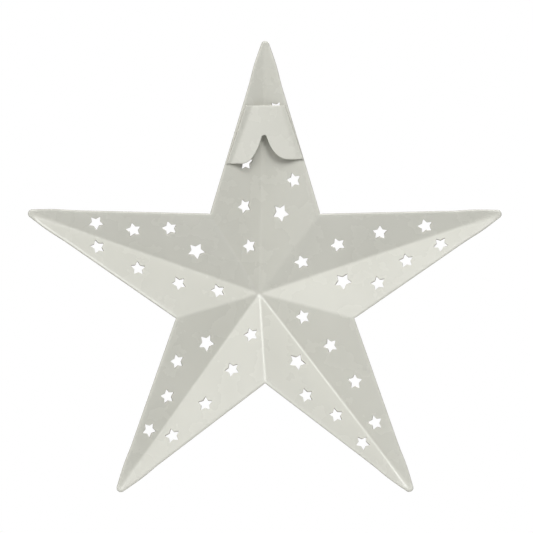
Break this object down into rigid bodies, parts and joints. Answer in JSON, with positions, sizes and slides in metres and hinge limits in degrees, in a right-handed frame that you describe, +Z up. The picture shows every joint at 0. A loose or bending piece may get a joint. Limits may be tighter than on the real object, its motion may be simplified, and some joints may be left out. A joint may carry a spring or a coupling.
{
  "type": "wall tealight holder",
  "caption": "Wall-hung tealight holder: a pressed, pierced sheet-metal star with a nail hanger behind its top arm and a tealight cup on a bar in front.",
  "frame": {"origin": "top of the hanger's notch, where a nail's shank takes the weight, in the middle of the plate's thickness", "axes": "+Z up, +Y towards the wall, so the star's hollow back faces +Y and the cup stands out towards -Y"},
  "size_m": [0.2902, 0.0678, 0.2763],
  "materials": {
    "paint": "satin"
  },
  "bodies": {
    "root": {"star_shell": "paint", "hanger_bracket": "paint", "cup_arm": "paint", "tealight_cup": "paint", "cup_rivet": "paint"}
  },
  "joints": []
}
